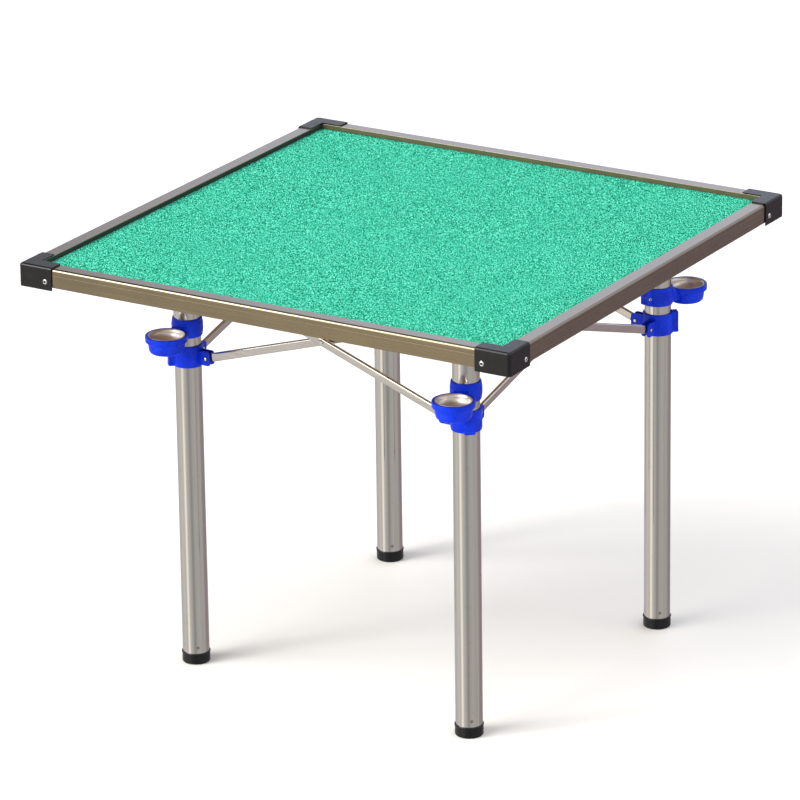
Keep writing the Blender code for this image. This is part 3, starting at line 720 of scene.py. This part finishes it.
# ---------------------------------------------------------------- legs
def leg_tube_shape():
    """Steel tube with the four crimps near its foot that hold the foot cap's plug."""
    wall = 0.0012
    crimp_height, crimp_size, crimp_depth = 0.0295, 0.0036, 0.0005
    close_rows = [0.020 + 0.001 * i for i in range(21)]
    rows = [TUBE_LOW, *close_rows, 0.10, 0.25, 0.40, 0.55, TUBE_HIGH]
    profile = [(LEG_RADIUS, h) for h in rows] + [(LEG_RADIUS - wall, h) for h in (TUBE_HIGH, TUBE_LOW)]
    bm = lathe(profile, 96)
    mark = bm.verts.layers.float_color.new("mark")
    for vert in bm.verts:
        radius = math.hypot(vert.co.x, vert.co.y)
        angle = math.atan2(vert.co.y, vert.co.x)
        near = angle % (math.pi / 2) - math.pi / 4
        distance = math.hypot(near * LEG_RADIUS, vert.co.z - crimp_height) / crimp_size
        amount = max(0.0, 1.0 - distance ** 2) if radius > LEG_RADIUS - wall / 2 else 0.0
        shade = 0.8 * amount
        vert[mark] = (shade, shade, shade, 1.0)
        if amount > 0:
            scale = (radius - crimp_depth * amount) / radius
            vert.co.x *= scale
            vert.co.y *= scale
    return bm


def foot_shape():
    """Foot cap: a ribbed cup round the tube's end and the plug inside it."""
    low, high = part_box("foot_cap_front_left")
    outer = (high.x - low.x) / 2
    cup_top, cup_floor = 0.0190, 0.0040
    cup_bore, plug = LEG_RADIUS + 0.0001, LEG_RADIUS - 0.0016
    return lathe(fillet([
        (0.0, 0.0006), (outer - 0.0070, 0.0006, 0.0005), (outer - 0.0064, 0.0, 0.0004),
        (outer - 0.0006, 0.0, 0.0036), (outer - 0.0008, cup_top - 0.0026, 0.0004),
        (outer, cup_top - 0.0020, 0.0004), (outer, cup_top, 0.0006), (cup_bore, cup_top, 0.0002),
        (cup_bore, cup_floor), (plug, cup_floor), (plug, high.z), (0.0, high.z)],
        5, closed=False), 72)


def make_legs():
    for corner in CORNERS:
        place = leg_place(corner)
        tube = Build().add(leg_tube_shape(), TUBE_STEEL, place)
        tube.finish(f"leg_tube_{corner}_fine", f"leg_{corner}", "polished_steel", f"leg_tube_{corner}")
        foot = Build().add(foot_shape(), BLACK, place)
        foot.finish(f"foot_cap_{corner}_fine", f"leg_{corner}", "black_plastic", f"foot_cap_{corner}")


def fork_frame(side, height):
    """A fork's own frame: local x runs out along the side and local z across the cheeks."""
    along = Vector((1, 0, 0)) if side == "next" else Vector((0, 1, 0))
    across = Vector((0, 1, 0)) if side == "next" else Vector((1, 0, 0))
    up = across.cross(along)
    rows = [[along[i], up[i], across[i], 0.0] for i in range(3)]
    return Matrix.Translation((0, 0, height)) @ Matrix([*rows, [0, 0, 0, 1]])


def cheek_outline(low, high):
    """Side view of a fork cheek: square at the moulding, round at its two outer corners."""
    root = LEG_RADIUS - 0.002
    nose = PIVOT_OFFSET + 0.0080
    return fillet([(root, low), (nose, low, 0.0042), (nose, high, 0.0042), (root, high)], 6)


def add_fork(build, place, side, plane, height, low, high):
    """Two cheeks, and the pin's heads on their outer faces; low and high are from the pin."""
    inner = BRACE_THICKNESS / 2 + FORK_GAP
    reach = inner + FORK_WALL
    fork = place @ fork_frame(side, height)
    if fork_frame(side, height).col[1].z < 0:
        low, high = -high, -low
    outline = cheek_outline(low, high)
    for start in (plane - reach, plane + inner):
        build.add(prism(outline, start, start + FORK_WALL, edge=0.0007), BLUE, fork)
    washer = fillet([(0.0, 0.0), (0.0038, 0.0), (0.0038, 0.0003, 0.0001), (0.0030, 0.0004),
                     (0.0, 0.0004)], 2, closed=False)
    dome = fillet([(0.0, 0.0002), (0.0027, 0.0002), (0.0027, 0.0009, 0.0005),
                   (0.0011, 0.0014, 0.0006), (0.0, 0.0011)], 4, closed=False)
    for way in (-1, 1):
        spot = fork @ Matrix.Translation((PIVOT_OFFSET, 0, plane + way * reach))
        if way < 0:
            spot = spot @ Matrix.Rotation(math.pi, 4, "X")
        # Each head sits on a washer darkened with dirt and painted shade.
        build.add(lathe(washer, 32), RECESS_DIRT_AND_SHADE, spot)
        build.add(lathe(dome, 32), FASTENER, spot)


def make_top_joints():
    """Leg heads: a closed cup over the tube's end, with a fork towards each neighbour."""
    outer = HEAD_RADIUS
    bore = LEG_RADIUS + FIT
    skirt = PIVOT_HIGH - 0.013
    profile = fillet([
        (0.0, HEAD_TOP), (outer, HEAD_TOP, 0.0022), (outer, skirt, 0.0008), (bore, skirt, 0.0003),
        (bore, TUBE_HIGH + FIT), (0.0, TUBE_HIGH + FIT)], 5, closed=False)
    for corner in CORNERS:
        place = leg_place(corner)
        build = Build().add(lathe(profile, 80), BLUE, place)
        for side, plane in (("next", -BRACE_PLANE), ("back", BRACE_PLANE)):
            add_fork(build, place, side, plane, PIVOT_HIGH, -0.0100, 0.0095)
        build.finish(f"top_joint_{corner}_fine", f"leg_{corner}", "blue_plastic", f"top_joint_{corner}")


def make_slide_collars():
    """Collars: ring, lock housing with its button on a ledge, and two forks."""
    bore = LEG_RADIUS + FIT
    ring_top = PIVOT_LOW + 0.0201
    ring = fillet([
        (bore, COLLAR_LOW, 0.0003), (COLLAR_RADIUS - 0.0006, COLLAR_LOW, 0.0008),
        (COLLAR_RADIUS, COLLAR_LOW + 0.0040, 0.0010), (COLLAR_RADIUS, ring_top, 0.0012),
        (bore, ring_top, 0.0003)], 5)
    # The housing has a groove across each side, groove_in to groove_out from the leg's axis.
    root, groove_in, groove_out, reach = 0.0190, 0.0283, 0.0295, 0.0330
    half, ledge_half, groove_half = 0.0080, 0.0090, 0.0069
    housing = fillet([
        (root, -half), (groove_in, -half, 0.0003), (groove_in, -groove_half),
        (groove_out, -groove_half), (groove_out, -half, 0.0003), (reach, -half, 0.0014),
        (reach, half, 0.0014), (groove_out, half, 0.0003), (groove_out, groove_half),
        (groove_in, groove_half), (groove_in, half, 0.0003), (root, half)], 4)
    ledge = fillet([(root, -ledge_half), (reach + 0.0002, -ledge_half, 0.0026),
                    (reach + 0.0002, ledge_half, 0.0026), (root, ledge_half)], 5)
    button = fillet([(-0.0045, -0.0075, 0.0012), (0.0045, -0.0075, 0.0012),
                     (0.0045, 0.0075, 0.0012), (-0.0045, 0.0075, 0.0012)], 4)
    button_height = (COLLAR_LOW + COLLAR_HIGH) / 2 + 0.002
    for corner in CORNERS:
        place = leg_place(corner)
        out = place @ Matrix.Rotation(math.radians(225), 4, "Z")
        face_on = out @ Matrix.Translation((reach, 0, button_height)) @ LYING
        build = Build().add(lathe(ring, 96), BLUE, place)
        build.add(prism(housing, COLLAR_LOW + 0.0045, COLLAR_HIGH - 0.0004, edge=0.0003), BLUE, out)
        build.add(prism(ledge, COLLAR_LOW + 0.0008, COLLAR_LOW + 0.0052, edge=0.0008), BLUE, out)
        build.add(prism(button, -0.0010, 0.0003, edge=0.0003), BLUE, face_on)
        for side, plane in (("next", BRACE_PLANE), ("back", -BRACE_PLANE)):
            add_fork(build, place, side, plane, PIVOT_LOW, -0.0115, 0.0120)
        build.finish(f"slide_collar_{corner}_fine", f"collar_{corner}", "blue_plastic",
                     f"slide_collar_{corner}")


# ---------------------------------------------------------------- cup holders
def cup_wall():
    """Wall of the cup in (radius, height): rim band, step, faintly ringed body, rounded bottom."""
    rim, body, wall = 0.0345, 0.0297, 0.0022
    lip = 0.0300
    band_low = CUP_RIM - 0.0095
    body_top = band_low - 0.0024
    floor = CUP_FLOOR
    rings_low = floor + 0.0070
    points = [(0.0, floor), (body - 0.0022, floor, 0.0060)]
    rings = 4
    span = body_top - 0.0012 - rings_low
    for index in range(rings):
        height = rings_low + span * (index + 0.5) / rings
        out = body - 0.0006 + 0.0010 * (index + 0.5) / rings
        points += [(out, height - 0.0007, 0.0003), (out - 0.00022, height, 0.0004),
                   (out, height + 0.0007, 0.0003)]
    points += [
        (body + 0.0006, body_top, 0.0006),
        (rim, band_low, 0.0007),
        (rim, CUP_RIM, 0.0011),
        (lip, CUP_RIM, 0.0008),
        (body - wall - 0.0002, CUP_RIM - 0.0075),
        (body - wall, floor + 0.0060, 0.0040),
        (0.0, floor + wall),
    ]
    return fillet(points, 4, closed=False)


def make_cup_holders():
    """Split clamp ring with two closing lugs, and the cup on its saddle-shaped neck."""
    outer = CLAMP_RADIUS
    bore = LEG_RADIUS + FIT
    low, high = COLLAR_HIGH + 0.0154, CLAMP_HIGH
    belly, round_off = outer + 0.0002, 0.010
    ring = fillet([
        (bore, low, 0.0003), (outer - 0.0012, low, 0.0011), (belly, low + round_off, round_off),
        (belly, high - round_off, round_off), (outer - 0.0014, high, 0.0011), (bore, high, 0.0003)], 6)
    slit = 2.2
    lug_inner, lug_outer, lug_margin = 0.0009, 0.0100, 0.0022
    neck_root, neck_half = 0.0210, 0.0125
    # Radius at which each part of the neck meets the cup, and its two heights
    necks = ((0.0288, CUP_FLOOR + 0.0095, CUP_RIM - 0.0085),
             (0.0306, CUP_RIM - 0.0090, CUP_RIM - 0.0008))
    for corner in CORNERS:
        place = cup_place(corner)
        build = Build().add(lathe(ring, 96, 180 + slit - 360, 180 - slit), BLUE, place)
        for y_low, y_high in ((-lug_outer, -lug_inner), (lug_inner, lug_outer)):
            lug = block((-0.0300, y_low, low + lug_margin), (-0.0215, y_high, high - lug_margin), 0.0009)
            lug.normal_update()
            sink_face(lug, (-1, 0, 0), 0.0013, 0.0006)
            build.add(lug, BLUE, place)
        for hold, neck_low, neck_high in necks:
            spread = math.degrees(math.asin(neck_half / hold))
            saddle = arc((CUP_REACH, 0.0), hold, 180 + spread, 180 - spread, 10)
            outline = [(neck_root, neck_half), (neck_root, -neck_half)] + saddle
            build.add(prism(outline, neck_low, neck_high, edge=0.0006), BLUE, place)
        build.add(lathe(cup_wall(), 96), BLUE, place @ Matrix.Translation((CUP_REACH, 0, 0)))
        build.finish(f"cup_clamp_{corner}_fine", f"cup_{corner}", "blue_plastic", f"cup_clamp_{corner}")


def make_clamp_screws():
    """Socket-head screw across the closing lugs."""
    reach = 0.0103
    distance = 0.0279
    head = fillet([(0.0015, reach + 0.0004), (0.0015, reach + 0.0014), (0.0024, reach + 0.0015, 0.0003),
                   (0.0028, reach + 0.0010, 0.0003), (0.0028, reach), (0.0012, reach),
                   (0.0012, -reach + 0.0010), (0.0, -reach + 0.0010), (0.0, reach + 0.0003)],
                  3, closed=False)
    socket = arc((0.0, 0.0), 0.0017, 0, 300, 5)
    for corner in CORNERS:
        node = f"clamp_screw_{corner}"
        place = cup_place(corner) @ Matrix.Translation((-distance, 0, middle(node).z))
        place = place @ Matrix.Rotation(math.pi / 2, 4, "X")
        build = Build().add(lathe(head, 36), FASTENER, place)
        # The socket is darkened with dirt and painted shade.
        build.add(prism(socket, reach + 0.0002, reach + 0.0006), RECESS_DIRT_AND_SHADE, place)
        build.finish(f"{node}_fine", f"cup_{corner}", "satin_steel", node)


def make_cup_liners():
    """Pressed steel bowls with a rolled lip, each a thin shell."""
    thickness = 0.0007
    mouth, lip = 0.0268, 0.0298
    bowl_top, floor = CUP_RIM - 0.0030, LINER_LOW + 0.0008
    angles = [math.radians(a) for a in range(0, 91, 6)]
    bowl = [(mouth * math.cos(a), bowl_top - (bowl_top - floor) * math.sin(a)) for a in angles]
    shell = [(r + thickness * math.cos(a), z - thickness * math.sin(a))
             for (r, z), a in zip(bowl, angles)]
    bowl[-1], shell[-1] = (0.0, bowl[-1][1]), (0.0, shell[-1][1])
    rolled = fillet([(lip - 0.0016, CUP_RIM - 0.0024), (lip, CUP_RIM + 0.0001, 0.0003),
                     (lip - 0.0007, CUP_RIM + 0.0004, 0.0003), (lip - 0.0018, CUP_RIM - 0.0010)],
                    6, closed=False)
    profile = shell[::-1] + rolled + bowl
    for corner in CORNERS:
        place = cup_place(corner) @ Matrix.Translation((CUP_REACH, 0, 0))
        build = Build().add(lathe(profile, 96), LINER_STEEL, place)
        build.finish(f"cup_liner_{corner}_fine", f"cup_{corner}", "satin_steel", f"cup_liner_{corner}")


# ---------------------------------------------------------------- braces
def make_braces():
    """Flat-oval tubes with a black plug in each end, and a domed rivet where two cross."""
    span = LEG_PITCH - 2 * PIVOT_OFFSET
    drop = PIVOT_HIGH - PIVOT_LOW
    tilt = math.atan2(drop, span)
    centre = (LEG_PITCH / 2, 0, (PIVOT_HIGH + PIVOT_LOW) / 2)
    end = (math.hypot(span, drop) + 2 * BRACE_END) / 2
    plug, overlap = 0.0195, 0.004
    radius = BRACE_THICKNESS / 2
    straight = BRACE_HEIGHT / 2 - radius
    section = arc((0, straight), radius, 0, 180, 12) + arc((0, -straight), radius, 180, 360, 12)
    slim = [(x * 0.94, y * 0.97) for x, y in section]
    face = BRACE_PLANE + BRACE_THICKNESS / 2 + FIT
    half = [(PIN_RADIUS, 0.0), (PIN_RADIUS, face), (0.0042, face, 0.0002),
            (0.0042, face + 0.0006, 0.0004), (0.0027, face + 0.0017, 0.0008),
            (0.0014, face + 0.0018, 0.0002), (0.0012, face + 0.0014, 0.0002), (0.0, face + 0.0014)]
    mirrored = [(p[0], -p[1], *p[2:]) for p in half[::-1]]
    pivot = fillet(mirrored + half[1:], 4, closed=False)
    for side, corner in zip(SIDES, CORNERS):
        crossing = leg_place(corner) @ Matrix.Translation(centre)
        for kind, plane, angle in (("outer", -BRACE_PLANE, tilt), ("inner", BRACE_PLANE, -tilt)):
            place = crossing @ Matrix.Translation((0, plane, 0)) @ Matrix.Rotation(angle, 4, "Y") @ LYING
            tube = prism(section, plug - end, end - plug, edge=0.0002, segments=2)
            build = Build().add(tube, BRACE_STEEL, place)
            for low in (-end, end - plug - overlap):
                build.add(prism(slim, low, low + plug + overlap, edge=0.0006), BLACK, place)
            build.finish(f"brace_{side}_{kind}_fine", f"brace_{side}_{kind}", "polished_steel",
                         f"brace_{side}_{kind}")
        build = Build().add(lathe(pivot, 40), FASTENER, crossing @ Matrix.Rotation(math.pi / 2, 4, "X"))
        build.finish(f"centre_pivot_{side}_fine", f"brace_{side}_outer", "satin_steel",
                     f"centre_pivot_{side}")


def dress_board():
    """The board keeps its CAD shape, since only its underside shows."""
    board = frame["nodes"]["board"]
    board.data.materials.clear()
    board.data.materials.append(BOARD)


make_rails()
make_corner_caps()
make_cap_rivets()
make_mat()
dress_board()
make_legs()
make_top_joints()
make_slide_collars()
make_cup_holders()
make_clamp_screws()
make_cup_liners()
make_braces()


# ---------------------------------------------------------------- stage, light and camera
FLOOR_REACH = 30.0


def make_floor():
    """Pale paper that no metal reflects."""
    bm = bmesh.new()
    bmesh.ops.create_grid(bm, x_segments=4, y_segments=4, size=FLOOR_REACH)
    mesh = bpy.data.meshes.new("floor")
    bm.to_mesh(mesh)
    bm.free()
    floor = bpy.data.objects.new("floor", mesh)
    bpy.context.scene.collection.objects.link(floor)
    m = Nodes("floor_paper")
    m.wire(m.mix((0.90, 0.89, 0.865), (0.92, 0.91, 0.885), m.noise(1.5)), "Base Color")
    m.set(roughness=0.9, specular=0.1)
    mesh.materials.append(m.material)
    floor.visible_glossy = False


DARK_WALL = (0.07, 0.06, 0.06)
BRIGHT_BOX = (5.0, 5.0, 4.8)
WARMTH = (1.0, 0.97, 0.94)


def warmed(stops):
    """Stops whose plain values are given the warm tint of the lower walls."""
    return [(position, value if isinstance(value, tuple) else tuple(value * t for t in WARMTH))
            for position, value in stops]


def make_world():
    """Studio surround: soft walls of uneven brightness that give the metal its streaks."""
    world = bpy.data.worlds.new("studio")
    bpy.context.scene.world = world
    world.use_nodes = True
    tree = world.node_tree
    background = tree.nodes["Background"]
    coordinates = tree.nodes.new("ShaderNodeTexCoord")
    split = tree.nodes.new("ShaderNodeSeparateXYZ")
    tree.links.new(coordinates.outputs["Generated"], split.inputs[0])
    around = tree.nodes.new("ShaderNodeTexGradient")
    around.gradient_type = "RADIAL"
    tree.links.new(coordinates.outputs["Generated"], around.inputs["Vector"])
    w = Tree(tree)

    turn = around.outputs["Color"]
    rise = split.outputs["Z"]
    # Positions are turns anticlockwise from -X seen from above: 0.25 is -Y, 0.5 is +X, 0.75 is +Y.
    low = w.ramp(turn, warmed((
        (0.000, 0.66), (0.080, 0.80), (0.135, 0.68),
        (0.158, (1.10, 1.02, 0.84)), (0.176, (1.25, 1.16, 0.96)),
        (0.190, 1.45), (0.204, 0.86), (0.240, 0.66), (0.285, 0.54), (0.322, 0.36), (0.345, 0.40),
        (0.380, 0.52), (0.440, 0.56), (0.520, 0.50), (0.570, 0.54), (0.620, (0.42, 0.36, 0.38)),
        (0.680, (0.34, 0.27, 0.30)), (0.760, 0.40), (0.860, 0.56), (1.000, 0.66))))
    high = w.ramp(turn, (
        (0.00, 0.95), (0.20, 1.05), (0.40, 1.00), (0.60, 0.85), (0.72, (0.90, 0.95, 1.12)),
        (0.838, (1.00, 1.05, 1.24)), (0.853, (0.40, 0.36, 0.36)), (0.88, (0.30, 0.27, 0.27)),
        (0.94, (0.88, 0.91, 1.05)), (1.00, 0.95)))
    behind = w.ramp(turn, ((0.060, 1.0), (0.080, 0.0), (0.820, 0.0), (0.845, 1.0)))
    band = w.ramp(rise, ((0.43, 0.0), (0.50, 1.0)))
    side_box = w.ramp(turn, ((0.072, 0.0), (0.088, 1.0), (0.205, 1.0), (0.225, 0.0)))
    box_band = w.ramp(rise, ((0.10, 0.0), (0.20, 1.0), (0.86, 1.0), (0.93, 0.0)))
    upper = w.mix(high, DARK_WALL, w.math("MULTIPLY", behind, band))
    upper = w.mix(upper, BRIGHT_BOX, w.math("MULTIPLY", side_box, box_band))
    # Z of the direction is read through 0.5 + Z / 2, so that the ramp covers both halves.
    horizon = w.ramp(w.math("MULTIPLY_ADD", rise, 0.5, 0.5), ((0.48, 0.0), (0.56, 1.0)))
    tree.links.new(w.mix(low, upper, horizon), background.inputs["Color"])
    background.inputs["Strength"].default_value = 1.0


def area_light(name, place, aim, size, power):
    data = bpy.data.lights.new(name, "AREA")
    data.shape = "RECTANGLE"
    data.size, data.size_y = size
    data.energy = power
    lamp = bpy.data.objects.new(name, data)
    bpy.context.scene.collection.objects.link(lamp)
    lamp.location = place
    lamp.rotation_euler = (Vector(aim) - Vector(place)).to_track_quat("-Z", "Y").to_euler()


CAMERA_ANGLES = (31.2765, 19.9708, -0.7948)     # azimuth, elevation and roll in degrees
CAMERA_PLACE = (4.3760, -7.2337, 3.4994)
CAMERA_LENS = 247.93


def make_camera():
    """Camera at the photograph's viewing angle."""
    azimuth, elevation, roll = (math.radians(v) for v in CAMERA_ANGLES)
    back = Vector((math.sin(azimuth) * math.cos(elevation), -math.cos(azimuth) * math.cos(elevation),
                   math.sin(elevation)))
    right = Vector((0, 0, 1)).cross(back).normalized()
    up = back.cross(right)
    side = right * math.cos(roll) + up * math.sin(roll)
    top = -right * math.sin(roll) + up * math.cos(roll)
    data = bpy.data.cameras.new("camera")
    data.lens = CAMERA_LENS
    data.sensor_width = 36.0
    data.clip_start, data.clip_end = 0.1, 200.0
    camera = bpy.data.objects.new("camera", data)
    bpy.context.scene.collection.objects.link(camera)
    place = Matrix((side, top, back)).transposed().to_4x4()
    place.translation = CAMERA_PLACE
    camera.matrix_world = place
    bpy.context.scene.camera = camera


make_floor()
make_world()
area_light("key", (-2.3, -3.0, 3.0), (0, 0, 0.6), (0.8, 1.7), 46)
area_light("fill", (3.8, 1.5, 3.4), (0, 0, 0.5), (2.6, 2.6), 18)
area_light("overhead", (0.0, 0.4, 4.2), (0, 0, 0.6), (3.2, 3.2), 26)
make_camera()
bpy.context.scene.view_settings.view_transform = "Standard"
